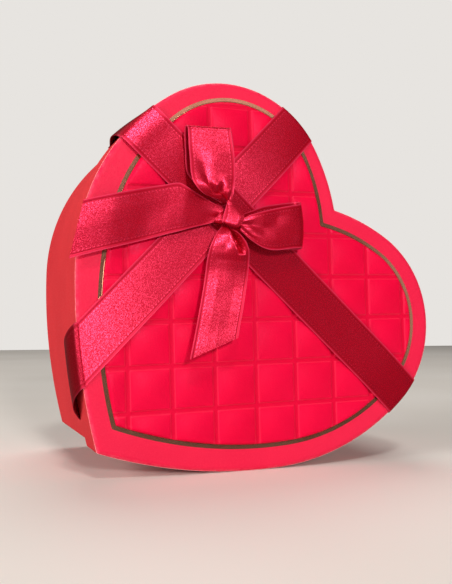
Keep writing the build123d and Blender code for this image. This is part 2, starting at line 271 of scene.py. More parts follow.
def arc(c, rx, ry, a, b, n):
    """Points of an elliptic arc in a profile."""
    return [
        (c[0] + rx * cos(radians(a + (b - a) * k / n)), c[1] + ry * sin(radians(a + (b - a) * k / n)))
        for k in range(n + 1)
    ]


def hermite(p, t, at_t):
    """Cubic through p at the parameters t, with finite-difference tangents."""
    m = np.zeros_like(p)
    m[1:-1] = (p[2:] - p[:-2]) / (t[2:] - t[:-2])[:, None]
    m[0] = (p[1] - p[0]) / (t[1] - t[0])
    m[-1] = (p[-1] - p[-2]) / (t[-1] - t[-2])
    k = np.clip(np.searchsorted(t, at_t, side="right") - 1, 0, len(t) - 2)
    h = (t[k + 1] - t[k])[:, None]
    x = ((at_t - t[k])[:, None]) / h
    return (
        (2 * x**3 - 3 * x**2 + 1) * p[k]
        + (x**3 - 2 * x**2 + x) * h * m[k]
        + (-2 * x**3 + 3 * x**2) * p[k + 1]
        + (x**3 - x**2) * h * m[k + 1]
    )


def grid_normals(g):
    """Unit normals of a grid of points, rows along and columns across."""
    du = np.gradient(g, axis=1)
    dv = np.gradient(g, axis=0)
    n = np.cross(du, dv)
    return n / np.maximum(np.linalg.norm(n, axis=2), 1e-9)[..., None]


def cloth(name, grids, body, materials, thick=0.3, across=RIBBON, lip=0.12):
    """Ribbon of a given thickness from grids in heart millimetres. Its edges are a little thicker."""
    points, uv, painted_rim_shade, f, base, total = [], [], [], [], 0, 0.0
    for g in grids:
        g = np.asarray(g, float)
        nv, nu, _ = g.shape
        n = grid_normals(g)
        u = np.linspace(0, across, nu)
        side = np.minimum(u, across - u)
        half = thick / 2 + lip / 2 * np.clip((1.1 - side) / 0.4, 0, 1)
        v = np.concatenate(
            [[0], np.cumsum(np.linalg.norm(np.diff(g[:, nu // 2], axis=0), axis=1))]
        )
        front, back = g + n * half[None, :, None], g - n * half[None, :, None]
        points.append(world(np.concatenate([front.reshape(-1, 3), back.reshape(-1, 3)])))
        uv1 = np.stack(np.meshgrid(u, v + total), -1).reshape(-1, 2)
        uv += [uv1, uv1]
        # mask of the painted shade on the ribbon where it wraps over the rim, from its depth behind the lid's face
        painted_rim_shade += [np.clip((g[..., 2].ravel() + 0.2) / 1.8, 0, 1)] * 2
        m = nv * nu
        for j in range(nv - 1):
            for i in range(nu - 1):
                a = base + j * nu + i
                f.append((a, a + 1, a + nu + 1, a + nu))
                f.append((m + a, m + a + nu, m + a + nu + 1, m + a + 1))
        for j in range(nv - 1):
            a, b = base + j * nu, base + j * nu + nu - 1
            f.append((a, a + nu, m + a + nu, m + a))
            f.append((b, m + b, m + b + nu, b + nu))
        for i in range(nu - 1):
            a, b = base + i, base + (nv - 1) * nu + i
            f.append((a, m + a, m + a + 1, a + 1))
            f.append((b, b + 1, m + b + 1, m + b))
        base += 2 * m
        total += v[-1]
    points, uv = np.concatenate(points), np.concatenate(uv)
    attrs = {"painted_rim_shade": np.concatenate(painted_rim_shade)}
    return add_mesh(name, points, f, body, materials, uv=uv * 0.001, sharp=60, attrs=attrs), total


# ------------------------------------------------------------------------------------------------
# Materials
# ------------------------------------------------------------------------------------------------


class Net:
    """A node material being built."""

    def __init__(self, name):
        self.mat = bpy.data.materials.new(name)
        self.mat.use_nodes = True
        self.tree = self.mat.node_tree
        self.shader = self.tree.nodes["Principled BSDF"]

    def node(self, kind, **props):
        n = self.tree.nodes.new(kind)
        for k, v in props.items():
            setattr(n, k, v)
        return n

    def put(self, socket, value):
        if isinstance(value, bpy.types.NodeSocket):
            self.tree.links.new(value, socket)
        else:
            socket.default_value = value

    def math(self, op, a, b=0.0, c=0.0, clamp=False):
        n = self.node("ShaderNodeMath", operation=op, use_clamp=clamp)
        for k, v in enumerate((a, b, c)):
            self.put(n.inputs[k], v)
        return n.outputs[0]

    def ramp(self, value, low, high, to_low=0.0, to_high=1.0, smooth=True):
        n = self.node("ShaderNodeMapRange", interpolation_type="SMOOTHSTEP" if smooth else "LINEAR")
        for k, v in enumerate((value, low, high, to_low, to_high)):
            self.put(n.inputs[k], v)
        return n.outputs[0]

    def mix(self, share, a, b):
        n = self.node("ShaderNodeMix", data_type="RGBA")
        self.put(n.inputs["Factor"], share)
        self.put(n.inputs[6], a)
        self.put(n.inputs[7], b)
        return n.outputs[2]

    def noise(self, where, scale, detail=3.0, rough=0.55, distortion=0.0):
        n = self.node("ShaderNodeTexNoise")
        self.put(n.inputs["Vector"], where)
        n.inputs["Scale"].default_value = scale
        n.inputs["Detail"].default_value = detail
        n.inputs["Roughness"].default_value = rough
        n.inputs["Distortion"].default_value = distortion
        return n.outputs["Fac"]

    def cells(self, where, scale, feature="F1", randomness=1.0):
        n = self.node("ShaderNodeTexVoronoi", feature=feature)
        self.put(n.inputs["Vector"], where)
        n.inputs["Scale"].default_value = scale
        n.inputs["Randomness"].default_value = randomness
        return n.outputs

    def here(self):
        return self.node("ShaderNodeTexCoord").outputs["Object"]

    def stretch(self, where, scale):
        n = self.node("ShaderNodeMapping")
        self.put(n.inputs["Vector"], where)
        n.inputs["Scale"].default_value = scale
        return n.outputs["Vector"]

    def attribute(self, name):
        return self.node("ShaderNodeAttribute", attribute_name=name).outputs["Fac"]

    def bump(self, height, strength, distance, normal=None):
        n = self.node("ShaderNodeBump")
        self.put(n.inputs["Height"], height)
        n.inputs["Strength"].default_value = strength
        n.inputs["Distance"].default_value = distance
        if normal is not None:
            self.put(n.inputs["Normal"], normal)
        return n.outputs["Normal"]

    def set(self, **values):
        names = {"colour": "Base Color", "rough": "Roughness", "metal": "Metallic", "normal": "Normal",
                 "specular": "Specular IOR Level", "tint": "Specular Tint", "sheen": "Sheen Weight",
                 "sheen_rough": "Sheen Roughness", "sheen_tint": "Sheen Tint", "coat": "Coat Weight",
                 "coat_rough": "Coat Roughness", "ior": "IOR", "stretched": "Anisotropic",
                 "tangent": "Tangent"}
        for k, v in values.items():
            self.put(self.shader.inputs[names[k]], v)
        return self.mat


def rgb(r, g, b):
    """An sRGB colour (0 to 255) as a shader's linear one."""
    return tuple(
        (v / 255 / 12.92 if v / 255 <= 0.04045 else ((v / 255 + 0.055) / 1.055) ** 2.4) for v in (r, g, b)
    ) + (1.0,)


def face_paper():
    m = Net("face_paper")
    p = m.here()
    large = m.noise(p, 22.0, 2.0)
    fine = m.noise(p, 1400.0, 4.0, 0.65)
    grain = m.cells(p, 1100.0)["Distance"]
    colour = m.mix(m.ramp(large, 0.3, 0.7), (0.745, 0.008, 0.051, 1), (0.785, 0.011, 0.057, 1))
    colour = m.mix(m.ramp(fine, 0.4, 0.75, 0.0, 0.3), colour, (0.84, 0.035, 0.090, 1))
    worn = m.math("MULTIPLY", m.attribute("wear"), m.ramp(m.noise(p, 260.0, 5.0, 0.7), 0.35, 0.7))
    colour = m.mix(m.math("MULTIPLY", worn, 0.4), colour, rgb(255, 110, 130))
    rough = m.ramp(m.noise(p, 500.0, 3.0), 0.3, 0.7, 0.46, 0.56)
    normal = m.bump(grain, 0.14, 0.00025)
    normal = m.bump(fine, 0.10, 0.00015, normal)
    return m.set(colour=colour, rough=rough, normal=normal, specular=0.14)


def side_paper():
    m = Net("side_paper")
    p = m.here()
    large = m.noise(p, 16.0, 3.0)
    fibre = m.noise(m.stretch(p, (1.0, 0.16, 1.0)), 1500.0, 3.0, 0.6)
    fine = m.noise(p, 1900.0, 3.0, 0.6)
    colour = m.mix(m.ramp(large, 0.3, 0.7), (0.63, 0.018, 0.026, 1), (0.69, 0.024, 0.032, 1))
    colour = m.mix(m.ramp(fibre, 0.4, 0.75, 0.0, 0.3), colour, (0.70, 0.045, 0.055, 1))
    worn = m.math("MULTIPLY", m.attribute("wear"), m.ramp(m.noise(p, 300.0, 5.0, 0.7), 0.4, 0.7))
    colour = m.mix(m.math("MULTIPLY", worn, 0.35), colour, rgb(236, 120, 120))
    rough = m.ramp(fibre, 0.3, 0.7, 0.56, 0.68)
    normal = m.bump(fibre, 0.14, 0.0002)
    normal = m.bump(fine, 0.10, 0.00015, normal)
    return m.set(colour=colour, rough=rough, normal=normal, specular=0.28)


def cut_paper():
    m = Net("cut_paper")
    p = m.here()
    grain = m.noise(p, 900.0, 4.0)
    colour = m.mix(m.ramp(grain, 0.3, 0.7), rgb(236, 120, 130), rgb(250, 178, 178))
    return m.set(colour=colour, rough=0.7, normal=m.bump(grain, 0.2, 0.0002))


def lining_paper():
    m = Net("lining_paper")
    p = m.here()
    fine = m.noise(p, 1200.0, 4.0, 0.6)
    colour = m.mix(m.ramp(m.noise(p, 20.0, 2.0), 0.3, 0.7), rgb(233, 222, 203), rgb(241, 232, 216))
    colour = m.mix(m.ramp(fine, 0.4, 0.75, 0.0, 0.25), colour, rgb(214, 198, 174))
    return m.set(colour=colour, rough=m.ramp(fine, 0.3, 0.7, 0.6, 0.75), normal=m.bump(fine, 0.15, 0.0002))


def greyboard():
    m = Net("greyboard")
    p = m.here()
    fibre = m.noise(p, 700.0, 6.0, 0.7, 0.6)
    fleck = m.cells(p, 420.0)["Distance"]
    colour = m.mix(m.ramp(fibre, 0.3, 0.7), rgb(126, 118, 108), rgb(160, 151, 138))
    colour = m.mix(m.ramp(fleck, 0.08, 0.0, 0.0, 0.6), colour, rgb(92, 84, 78))
    return m.set(colour=colour, rough=0.85, normal=m.bump(fibre, 0.3, 0.0003))


def copper_foil():
    m = Net("copper_foil")
    p = m.here()
    wave = m.noise(p, 60.0, 2.0)
    fine = m.noise(p, 1600.0, 3.0, 0.6)
    colour = m.mix(m.ramp(wave, 0.3, 0.7), (0.50, 0.20, 0.12, 1), (0.58, 0.26, 0.16, 1))
    return m.set(colour=colour, metal=0.86, rough=m.ramp(fine, 0.3, 0.7, 0.13, 0.19),
                 normal=m.bump(fine, 0.12, 0.00012))


def leatherette():
    m = Net("quilted_leatherette")
    p = m.here()
    cell = m.cells(p, 1000.0)["Distance"]
    fine = m.noise(p, 1700.0, 4.0, 0.65)
    large = m.noise(p, 26.0, 2.0)
    low = m.attribute("groove")
    colour = m.mix(m.ramp(large, 0.3, 0.7), (0.725, 0.0003, 0.033, 1), (0.765, 0.0008, 0.039, 1))
    colour = m.mix(m.ramp(fine, 0.45, 0.8, 0.0, 0.3), colour, (0.86, 0.004, 0.056, 1))
    # painted highlight: the pillows' edges, where the groove mask is midway, are lightened in the colour
    edge = m.math("MULTIPLY", m.ramp(low, 0.0, 0.45), m.ramp(low, 0.55, 1.0, 1.0, 0.0))
    colour = m.mix(m.math("MULTIPLY", edge, 0.35), colour, (0.95, 0.050, 0.110, 1))
    # painted shade: the grooves between the pillows are darkened in the colour
    colour = m.mix(m.math("MULTIPLY", low, 0.35), colour, (0.58, 0.0002, 0.020, 1))
    rough = m.ramp(m.noise(p, 700.0, 3.0), 0.3, 0.7, 0.38, 0.48)
    normal = m.bump(cell, 0.16, 0.0003)
    normal = m.bump(fine, 0.12, 0.0002, normal)
    return m.set(colour=colour, rough=rough, normal=normal, specular=0.20, tint=(1.0, 0.35, 0.65, 1))


def satin():
    m = Net("satin_ribbon")
    place = m.node("ShaderNodeUVMap", uv_map="UVMap").outputs["UV"]
    split = m.node("ShaderNodeSeparateXYZ")
    m.put(split.inputs[0], place)
    u = m.math("MULTIPLY", split.outputs["X"], 1000.0)
    v = m.math("MULTIPLY", split.outputs["Y"], 1000.0)
    side = m.math("MINIMUM", u, m.math("SUBTRACT", RIBBON, u))
    hem = m.ramp(side, 0.95, 1.2, 1.0, 0.0)
    piping = m.ramp(side, 0.3, 0.65, 1.0, 0.0)
    gap = m.math("MULTIPLY", m.ramp(side, 1.15, 1.35), m.ramp(side, 1.6, 1.9, 1.0, 0.0))
    # stitched dots beside each edge
    beat = m.math("SUBTRACT", m.math("FRACT", m.math("DIVIDE", v, 1.9)), 0.5)
    along = m.math("MULTIPLY", beat, 1.9)
    apart = m.math("SUBTRACT", side, 2.4)
    away = m.math("SQRT", m.math("ADD", m.math("MULTIPLY", along, along), m.math("MULTIPLY", apart, apart)))
    dot = m.ramp(away, 0.22, 0.5, 0.6, 0.0)
    # threads, and the few that catch the light
    thread = m.noise(m.stretch(place, (900.0, 2600.0, 1.0)), 1.0, 2.0, 0.6)
    glint = m.noise(m.stretch(place, (1900.0, 1900.0, 1.0)), 1.0, 2.0, 0.75)
    spark = m.cells(m.stretch(place, (3700.0, 3000.0, 1.0)), 1.0)["Color"]
    bit = m.node("ShaderNodeSeparateColor")
    m.put(bit.inputs[0], spark)
    flash = m.math("MULTIPLY", m.ramp(bit.outputs[0], 0.34, 1.0), m.ramp(side, 1.8, 2.2))
    weave = m.ramp(thread, 0.3, 0.72)
    colour = m.mix(weave, (0.33, 0.0001, 0.006, 1), (0.40, 0.0002, 0.009, 1))
    colour = m.mix(m.math("MULTIPLY", gap, 0.6), colour, (0.24, 0.0001, 0.003, 1))
    colour = m.mix(hem, colour, m.mix(piping, (0.44, 0.003, 0.022, 1), (0.60, 0.030, 0.075, 1)))
    colour = m.mix(m.math("MAXIMUM", dot, m.math("MULTIPLY", flash, 0.45)), colour, m.mix(dot, (0.56, 0.001, 0.020, 1), (0.80, 0.10, 0.19, 1)))
    # painted shade: the part wrapped over the rim is darkened in the colour, and shines less
    painted_rim_shade = m.attribute("painted_rim_shade")
    colour = m.mix(m.math("MULTIPLY", painted_rim_shade, 0.85), colour, (0.10, 0.0001, 0.002, 1))
    shine = m.math("MAXIMUM", m.ramp(flash, 0.0, 1.0, 0.29, 1.32), m.math("MULTIPLY", dot, 2.6))
    shine = m.math("MULTIPLY", shine, m.ramp(painted_rim_shade, 0.0, 1.0, 1.0, 0.25))
    rough = m.ramp(flash, 0.0, 1.0, 0.42, 0.33)
    across = m.node("ShaderNodeTangent", direction_type="UV_MAP", uv_map="UVMap").outputs[0]
    tall = m.math("ADD", m.math("MULTIPLY", glint, 0.6), m.math("MULTIPLY", bit.outputs[1], 0.4))
    normal = m.bump(tall, 0.05, 0.0004)
    normal = m.bump(m.math("SUBTRACT", m.math("MULTIPLY", hem, 0.5), m.math("MULTIPLY", gap, 0.5)), 0.15, 0.0003, normal)
    return m.set(colour=colour, rough=rough, normal=normal, ior=3.4, specular=shine, tint=(1.0, 0.056, 0.135, 1),
                 stretched=0.8, tangent=across)


FACE, SIDE, CUT = face_paper(), side_paper(), cut_paper()
LINING, GREY, FOIL = lining_paper(), greyboard(), copper_foil()
LEATHER, SATIN = leatherette(), satin()

for name, mat in (
    ("base_bottom_board", GREY), ("base_wall_left", GREY), ("base_wall_right", GREY),
    ("lid_rim_left", GREY), ("lid_rim_right", GREY), ("quilt_card", GREY),
    ("base_bottom_sheet", SIDE), ("base_wall_lining", LINING), ("base_floor_lining", LINING),
    ("lid_lining", LINING),
):
    mesh = nodes[name].data
    mesh.materials.clear()
    mesh.materials.append(mat)

# ------------------------------------------------------------------------------------------------
# Paper skins
# ------------------------------------------------------------------------------------------------
ROUND_IN, ROUND_DEEP = 2.7, 1.7     # rounding of the lid's front edge

board = (
    [(0.45, 2.18), (0.3, 2.0), (0.3, ROUND_DEEP + 0.2)]
    + arc((ROUND_IN + 0.2, ROUND_DEEP + 0.2), ROUND_IN, ROUND_DEEP, 180, 270, 8)[1:]
    + [(4.0, 0.2)]
)
lid_board = swept("lid_board", board, "lid", [GREY], ends=(True, True))
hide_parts("lid_top_board")

curve = arc((ROUND_IN + 0.08, ROUND_DEEP), ROUND_IN, ROUND_DEEP, 180, 270, 12)
under = arc((ROUND_IN + 0.2, ROUND_DEEP + 0.19), ROUND_IN - 0.06, ROUND_DEEP, 180, 270, 8)
face = (
    [(12.8, 0.19), (4.0, 0.19)] + under[::-1] + [(0.25, 2.15), (0.08, 2.15)]
    + curve + [(3.4, 0.0), (5.5, 0.0), (9.2, 0.0), (12.8, 0.0)]
)
wear = [0, 0] + [0] * len(under) + [0.6, 0.6] + [
    0.35 + 0.65 * max(0.0, 1 - abs(k / 12 - 0.35) / 0.35) if k < 9 else 0.0 for k in range(13)
] + [0, 0, 0, 0]
lid_face = swept("lid_face", face, "lid", [FACE], ends=(True, True), attr={"wear": wear})
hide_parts("lid_face_sheet")

WRAP_START = 1.25
rim = (
    [(0.42, WRAP_START), (0.02, WRAP_START), (0.0, WRAP_START + 0.12), (0.0, 6.0), (0.0, 14.0), (0.0, 22.0), (0.0, 25.2)]
    + arc((0.5, 25.5), 0.5, 0.5, 180, 90, 5)
    + arc((1.2, 25.5), 0.5, 0.5, 90, 0, 5)
    + [(1.7, 25.0), (1.7, 14.0), (1.5, 14.0), (1.5, 25.3), (1.4, 25.78), (0.35, 25.78), (0.2, 25.2), (0.2, 2.3), (0.42, 2.2)]
)
rim_wear = [0.3, 1, 0.8, 0, 0, 0, 0.1] + [0.9] * 12 + [0.1] + [0] * (len(rim) - 20)
rim_slots = [1] + [0] * (len(rim) - 1)
lid_rim = swept("lid_rim_paper", rim, "lid", [SIDE, CUT], closed=True,
                slots=rim_slots, attr={"wear": rim_wear})
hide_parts("lid_rim_wrap")

tray = (
    [(2.7, 115.58), (2.7, 3.0), (3.0, 2.7), (4.0, 2.7), (4.2, 3.0), (4.2, 14.4), (4.4, 14.4), (4.4, 3.2)]
    + arc((3.9, 3.0), 0.5, 0.5, 0, -90, 4)[1:]
    + arc((3.0, 3.0), 0.5, 0.5, 270, 180, 4)
    + [(2.5, 8.0), (2.5, 30.0), (2.5, 60.0), (2.5, 90.0), (2.5, 112.0), (2.5, 115.0)]
    + arc((3.1, 115.2), 0.6, 0.6, 180, 90, 6)
    + [(5.0, 115.8), (14.5, 115.8), (14.5, 115.62), (4.0, 115.62)]
)
tray_wear = [0] * 8 + [0.8] * 9 + [0, 0, 0, 0, 0, 0.2] + [1.0] * 7 + [0.1, 0, 0, 0]
tray_paper = swept("base_paper", tray, "base", [SIDE], closed=True, attr={"wear": tray_wear})
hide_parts("base_wrap")

# ------------------------------------------------------------------------------------------------
# Foil line: a flat line with a small lip where the panel's edge starts
# ------------------------------------------------------------------------------------------------
foil = [
    (10.4, -0.01), (10.4, -0.07), (11.3, -0.07), (12.2, -0.07), (12.26, -0.1), (12.34, -0.2),
    (12.42, -0.24), (12.55, -0.24), (12.65, -0.01),
]
foil_line = swept("foil_inlay", foil, "lid", [FOIL], closed=True, sharp=25, tip=0.25, fine=2, die=True)
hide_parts("foil_line")

# ------------------------------------------------------------------------------------------------
# Quilted panel
# ------------------------------------------------------------------------------------------------
PANEL_EDGE = QUILT_EDGE - 0.4     # the cover bulges out a little past its card
NODE = np.array([53.76, 69.96])
STEP_I, DIR_I = 23.4, np.array([-0.6717, 0.7409])
STEP_J, DIR_J = 22.85, np.array([-0.7409, -0.6717])
_grid = np.column_stack([DIR_I * STEP_I, DIR_J * STEP_J])
_ungrid = np.linalg.inv(_grid)


def smooth(x):
    x = np.clip(x, 0, 1)
    return x * x * (3 - 2 * x)


def quilt_points():
    loops = [stamped(outline(PANEL_EDGE + k, tip=0.6, fine=2, shape=DIE)) for k in (0.0, 0.18, 0.45, 0.85, 1.4)]
    near = np.array([0.0, 0.5, 0.85, 1.1, 1.35, 1.6, 1.85, 2.15, 2.7, 3.6, 5.0, 7.0, 9.2, 11.7])
    share_i = np.concatenate([near, STEP_I - near[1:-1][::-1]]) / STEP_I
    share_j = np.concatenate([near, STEP_I - near[1:-1][::-1]]) / STEP_I
    cells = range(-12, 13)
    si = np.concatenate([share_i + k for k in cells])
    sj = np.concatenate([share_j + k for k in cells])
    inner = (np.stack(np.meshgrid(si, sj), -1).reshape(-1, 2) @ _grid.T) + NODE
    # keep what lies inside the panel, clear of the rounded edge
    keep = inside(inner, loops[-1])
    inner = inner[keep]
    inner = inner[edge_distance(inner, loops[-1]) > 0.35]
    return loops, inner


def inside(p, loop):
    """Which points lie inside a closed loop."""
    res = np.zeros(len(p), bool)
    x, y = p[:, 0], p[:, 1]
    for (x0, y0), (x1, y1) in zip(loop, np.roll(loop, -1, 0)):
        hit = (y0 > y) != (y1 > y)
        if hit.any():
            xs = x0 + (y[hit] - y0) * (x1 - x0) / (y1 - y0)
            res[hit] ^= x[hit] < xs
    return res


def pillow(p):
    """Height of the quilting and how deep in a groove each point lies (0 to 1)."""
    c = (p - NODE) @ _ungrid.T
    f = c - np.floor(c)
    q = np.minimum(f, 1 - f) * (STEP_I, STEP_J)
    rise = smooth((q - 0.75) / 1.1)
    both = rise[:, 0] * rise[:, 1]
    x = np.clip(1 - (q - 0.85) / (np.array([STEP_I, STEP_J]) / 2 - 0.85), 0, 1)
    dome = (1 - x[:, 0] ** 2) * (1 - x[:, 1] ** 2)
    return 0.36 + 0.46 * both + 1.35 * dome * both, 1 - both


def lie(ins, level, run, edge, swell=0.0):
    """Depth of a ribbon that far inside the lid's edge."""
    k = np.clip((ins - 0.8) / run, 0, 1)
    return edge + (level - edge) * 2 * (k - k**3 + k**4 / 2) - swell * np.exp(-(((ins - 7.5) / 5.5) ** 2))


BAND_B_LEVEL, BAND_A_LEVEL = -2.6, -2.75
# for each end of a band, how far in it starts to come down, its depth at the edge and how far it swells before it
RUN_A = ((34.0, -2.0, 0.30), (36.0, -0.35))
RUN_B = ((36.0, -0.35), (58.0, -0.35))


def pressed(p, height):
    """The quilting's height where the ribbons hold it down."""
    ins = edge_distance(p)
    for turn, level, runs in ((BAND_A_TURN, BAND_A_LEVEL, RUN_A), (BAND_B_TURN, BAND_B_LEVEL, RUN_B)):
        rel = p - CROSS
        c, s = cos(radians(turn)), sin(radians(turn))
        along, across = rel @ (c, s), rel @ (-s, c)
        room = -np.where(along > 0, lie(ins, level, *runs[0]), lie(ins, level, *runs[1])) - 0.35
        height = height - smooth((14.6 - np.abs(across)) / 2.2) * np.maximum(0, height - room)
    return height


loops, inner = quilt_points()
flat = np.concatenate(loops + [inner])
count = len(loops[0])
cut = delaunay_2d_cdt(
    [Vector(p) for p in flat], [(k, (k + 1) % count) for k in range(count)], [], 1, 1e-6
)
flat = np.array([tuple(p) for p in cut[0]])
tri = [f for f in cut[2]]
rim_in = edge_distance(flat, stamped(outline(PANEL_EDGE, tip=0.6, fine=4, shape=DIE)))
height, groove = pillow(flat)
height = np.maximum(pressed(flat, height), 0.15)
lift = np.sqrt(np.clip(1 - (1 - np.clip(rim_in / 1.5, 0, 1)) ** 2, 0, 1))
tall = 0.1 + (height - 0.1) * lift
top = np.column_stack([flat, -tall])
# a closed pad: the quilted top, a wall round its edge and a flat back
edge_of = {}
for f in tri:
    for a, b in zip(f, list(f[1:]) + [f[0]]):
        edge_of[(a, b)] = edge_of.get((a, b), 0) + 1
border = {a: b for (a, b) in edge_of if (b, a) not in edge_of}
start = next(iter(border))
ring = [start]
while border[ring[-1]] != start:
    ring.append(border[ring[-1]])
base = len(top)
foot = np.column_stack([flat[ring], np.full(len(ring), -0.02)])
points = world(np.concatenate([top, foot]))
area = sum(flat[a][0] * flat[b][1] - flat[b][0] * flat[a][1] for a, b in zip(ring, ring[1:] + ring[:1]))
faces = [tuple(f) for f in tri]
n = len(ring)
for k in range(n):
    a, b = ring[k], ring[(k + 1) % n]
    faces.append((b, a, base + k, base + (k + 1) % n))
faces.append(tuple(base + k for k in reversed(range(n))))
probe = world(top[list(tri[0])])
if np.cross(probe[1] - probe[0], probe[2] - probe[0])[1] > 0:
    faces = [tuple(reversed(f)) for f in faces]
# the groove attribute masks the painted shade in the grooves and the painted highlight on the pillows' edges
quilt = add_mesh(
    "quilted_panel", points, faces, "lid", [LEATHER], sharp=70,
    attrs={"groove": np.concatenate([groove, np.ones(n)])},
)
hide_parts("quilt_cover", "quilt_card")

# ------------------------------------------------------------------------------------------------
# Ribbon bands
# ------------------------------------------------------------------------------------------------


def reach(start, way):
    """Distance from start along way to the lid's edge, and where along the edge that is."""
    a, b = EDGE, np.roll(EDGE, -1, 0)
    e = b - a
    den = way[0] * e[:, 1] - way[1] * e[:, 0]
    den = np.where(np.abs(den) < 1e-12, 1e-12, den)
    r = a - start
    t = (r[:, 0] * e[:, 1] - r[:, 1] * e[:, 0]) / den
    k = (r[:, 0] * way[1] - r[:, 1] * way[0]) / den
    ok = (k >= 0) & (k < 1) & (t > 0)
    i = np.flatnonzero(ok)[np.argmin(t[ok])]
    return t[i], EDGE_S[i] + k[i] * _step[i]


def band(name, node, turn, level, ends, runs, hump=0.0, lift=0.0):
    """A ribbon from rim to rim. ends: for each end (drift along the edge per mm of depth, bulge(across, depth))."""
    way = np.array([cos(radians(turn)), sin(radians(turn))])
    nrm = np.array([-way[1], way[0]])
    offs = np.linspace(-RIBBON / 2, RIBBON / 2, 31)
    cols = []
    for w in offs:
        mid = np.array(CROSS) + nrm * w
        halves = []
        for sign, (drift, bulge), run in zip((1, -1), ends, runs):
            far, s0 = reach(mid, way * sign)
            t = np.concatenate([np.linspace(0, far - 16, 46, endpoint=False), np.linspace(far - 16, far - 1.2, 16)])
            p = mid + np.outer(t, way * sign)
            ins = edge_distance(p)
            d = lie(ins, level, *run)
            if hump:
                d = d - hump * np.exp(-((t / 17.0) ** 4))
            if lift and sign > 0:
                d = d - lift * np.exp(-(((t - 33.0) / 15.0) ** 2))
            front = np.column_stack([p, d])
            turns = []
            tail_in, tail_d = ins[-1], d[-1]
            for k in range(1, 8):                     # over the lid's front edge
                a = radians(90 * k / 7)
                out = -tail_in + (tail_in + 0.28) * sin(a)
                deep = tail_d + (2.0 - tail_d) * (1 - cos(a))
                extra = bulge(w, deep)
                turns.append([*on_edge(s0 + drift * max(deep, 0.0), out + extra), deep])
            for deep in np.linspace(2.8, RIM_DEPTH - 0.4, 22):
                turns.append([*on_edge(s0 + drift * deep, 0.28 + bulge(w, deep)), deep])
            for k in range(1, 8):                     # round the rim's free edge
                a = radians(180 * k / 7)
                out = 0.28 - 1.13 * (1 - cos(a))
                deep = RIM_DEPTH - 0.4 + 0.75 * sin(a)
                turns.append([*on_edge(s0 + drift * RIM_DEPTH, out), deep])
            for deep in np.linspace(RIM_DEPTH - 2.5, RIM_DEPTH - 10.0, 5):
                turns.append([*on_edge(s0 + drift * RIM_DEPTH, -1.98), deep])
            halves.append(np.concatenate([front, np.array(turns)]))
        cols.append(np.concatenate([halves[1][::-1], halves[0][1:]]))
    grid = np.stack(cols, 1)
    piece, length = cloth(name, [grid], "lid", [SATIN], across=RIBBON)
    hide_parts(node)
    return piece


def no_bulge(w, deep):
    return 0.0


def loose(w, deep):
    """The long band's upper end stands off the rim at its lower corner."""
    k = max(0.0, min(1.0, (8.0 - w) / 20.0))
    return 3.0 * k * max(0.0, sin(pi * min(1.0, max(0.0, deep / 22.0)) ** 0.7))


def slack(w, deep):
    """The short band's lower end stands off the rim between its edges."""
    return 4.2 * max(0.0, sin(pi * min(1.0, max(0.0, deep / 26.0)) ** 0.85))


band_b = band("ribbon_short", "ribbon_band_b", BAND_B_TURN, BAND_B_LEVEL,
              [(0.0, no_bulge), (-0.72, slack)], RUN_B, lift=0.75)
band_a = band("ribbon_long", "ribbon_band_a", BAND_A_TURN, BAND_A_LEVEL,
              [(0.0, loose), (0.0, no_bulge)], RUN_A, hump=0.3)

# ------------------------------------------------------------------------------------------------
# Bow
# ------------------------------------------------------------------------------------------------


def bend(ribs, folds, along, across):
    """A ribbon's grid through ribs. A rib is its two edge points in the picture with their depths.
    folds has rows of (place along the ribs, pairs of place across and how far the cloth stands out)."""
    left = np.array([at(*r[:3]) for r in ribs])
    right = np.array([at(*r[3:6]) for r in ribs])
    mid = (left + right) / 2
    t = np.concatenate([[0], np.cumsum(np.maximum(np.linalg.norm(np.diff(mid, axis=0), axis=1), 1.0) ** 0.6)])
    s = np.linspace(0, t[-1], along)
    a, b = hermite(left, t, s), hermite(right, t, s)
    place = np.interp(s, t, np.arange(len(ribs)))
    u = np.linspace(0, 1, across)
    g = a[:, None] * (1 - u)[None, :, None] + b[:, None] * u[None, :, None]
    n = grid_normals(g)
    near = np.argmin(g[:, across // 2, 2])
    if n[near, across // 2, 2] > 0:
        n = -n
    rows = np.array([np.interp(u, *zip(*row)) for _, row in folds])
    rows = np.pad(rows, ((0, 0), (2, 2)), mode="edge")
    rows = sum(w * rows[:, k : k + across] for k, w in enumerate((0.12, 0.23, 0.3, 0.23, 0.12)))
    off = np.stack([np.interp(place, [r[0] for r in folds], rows[:, k]) for k in range(across)], 1)
    off = np.pad(off, ((2, 2), (0, 0)), mode="edge")
    off = sum(w * off[k : k + along] for k, w in enumerate((0.12, 0.23, 0.3, 0.23, 0.12)))
    return g + n * off[..., None]


def strip(name, node, grids, width=RIBBON):
    piece, length = cloth(name, grids, "lid", [SATIN], across=width)
    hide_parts(node)
    return piece


FLAT = ((0, 0), (1, 0))

